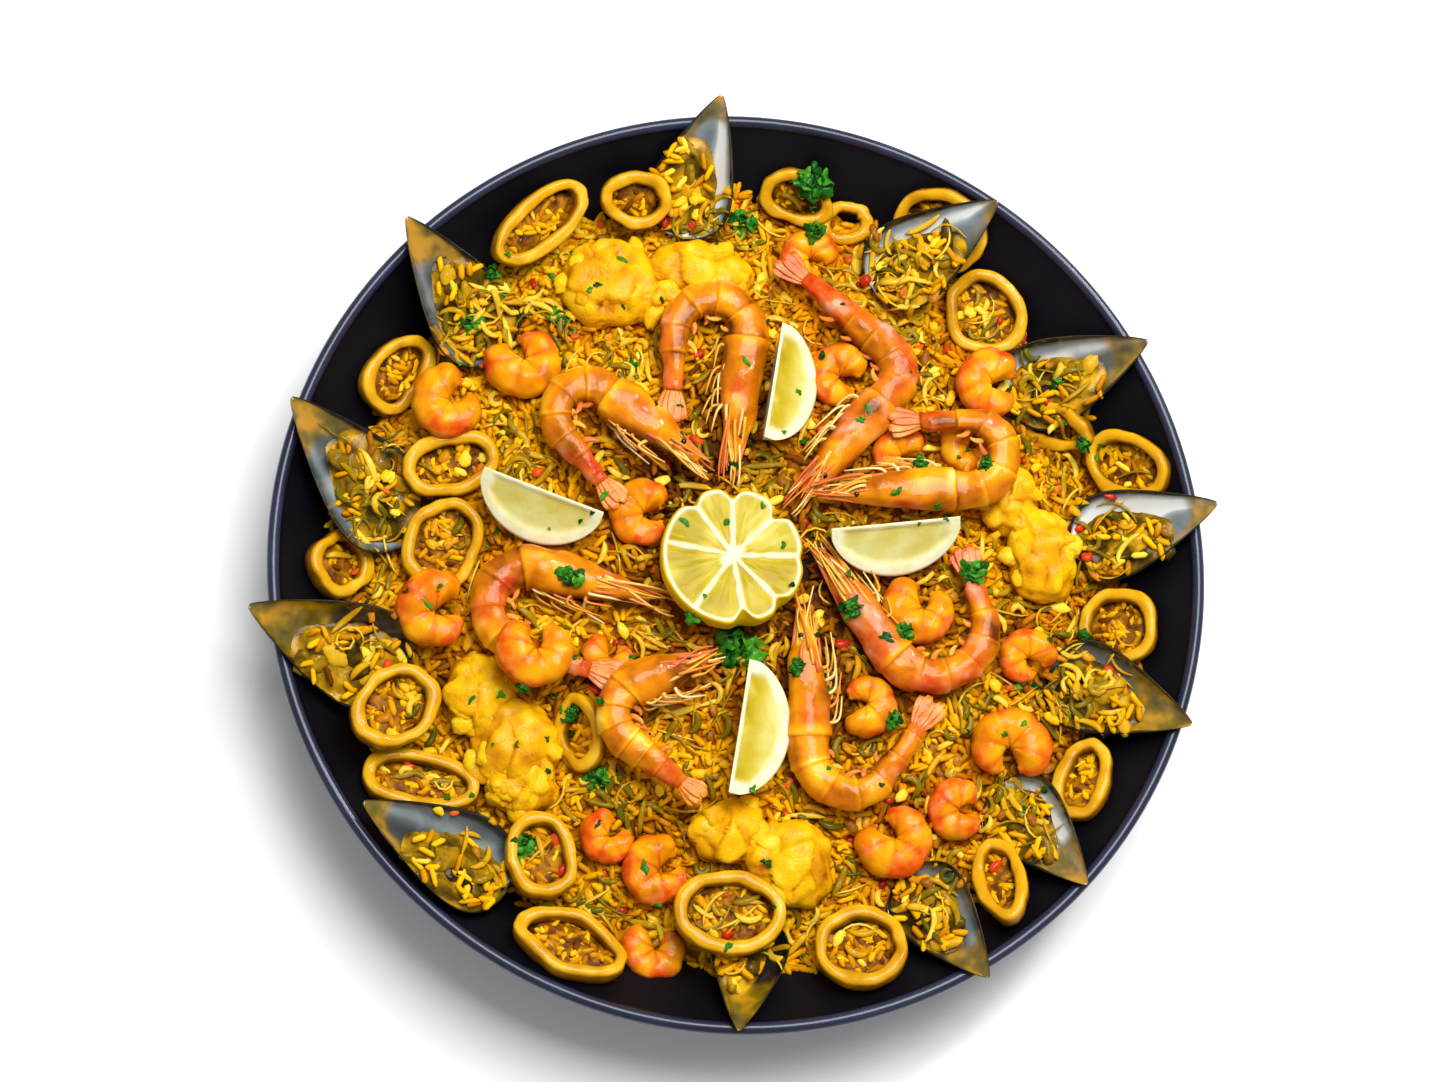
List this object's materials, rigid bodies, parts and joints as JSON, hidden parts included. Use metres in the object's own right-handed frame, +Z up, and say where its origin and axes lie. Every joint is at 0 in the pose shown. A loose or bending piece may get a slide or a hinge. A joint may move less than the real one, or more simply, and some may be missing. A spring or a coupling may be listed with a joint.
{
  "type": "seafood paella in its pan",
  "caption": "Saffron rice in a wide flared pan, topped with whole prawns, peeled shrimps, squid rings, fish, mussels on the half shell and lemon.",
  "frame": {"origin": "centre of the pan's flat underside", "axes": "+Z up out of the pan; +X and +Y lie in the plane of the table, +Y to the side that the first mussel points to"},
  "size_m": [0.4094, 0.4047, 0.0766],
  "materials": {
    "pan_enamel": "satin black non-stick coating, navy outside and rim",
    "saffron_rice": "moist cooked grains",
    "fish_flesh": "moist flakes",
    "squid": "smooth and oily",
    "mussel_shell": "glossy shell",
    "shrimp_meat": "moist, lightly oiled",
    "prawn_shell": "glossy shell",
    "lemon": "wet cut flesh and waxy rind"
  },
  "bodies": {
    "root": {"pan": "pan_enamel", "rice": "saffron_rice", "fish_01": "fish_flesh", "fish_02": "fish_flesh", "fish_03": "fish_flesh", "fish_04": "fish_flesh", "squid_ring_01": "squid", "squid_ring_02": "squid", "squid_ring_03": "squid", "squid_ring_04": "squid", "squid_ring_05": "squid", "squid_ring_06": "squid", "squid_ring_07": "squid", "squid_ring_08": "squid", "squid_ring_09": "squid", "squid_ring_10": "squid", "squid_ring_11": "squid", "squid_ring_12": "squid", "squid_ring_13": "squid", "squid_ring_14": "squid", "squid_ring_15": "squid", "squid_ring_16": "squid", "squid_ring_17": "squid", "squid_ring_18": "squid", "squid_ring_19": "squid", "mussel_01": "mussel_shell", "mussel_02": "mussel_shell", "mussel_03": "mussel_shell", "mussel_04": "mussel_shell", "mussel_05": "mussel_shell", "mussel_06": "mussel_shell", "mussel_07": "mussel_shell", "mussel_08": "mussel_shell", "mussel_09": "mussel_shell", "mussel_10": "mussel_shell", "mussel_11": "mussel_shell", "mussel_12": "mussel_shell", "shrimp_01": "shrimp_meat", "shrimp_02": "shrimp_meat", "shrimp_03": "shrimp_meat", "shrimp_04": "shrimp_meat", "shrimp_05": "shrimp_meat", "shrimp_06": "shrimp_meat", "shrimp_07": "shrimp_meat", "shrimp_08": "shrimp_meat", "shrimp_09": "shrimp_meat", "shrimp_10": "shrimp_meat", "lemon_half_01": "lemon", "lemon_wedge_01": "lemon", "lemon_wedge_02": "lemon", "lemon_wedge_03": "lemon", "lemon_wedge_04": "lemon", "prawn_01": "prawn_shell", "prawn_02": "prawn_shell", "prawn_03": "prawn_shell", "prawn_04": "prawn_shell", "prawn_05": "prawn_shell", "prawn_06": "prawn_shell", "prawn_07": "prawn_shell", "prawn_08": "prawn_shell"}
  },
  "joints": []
}
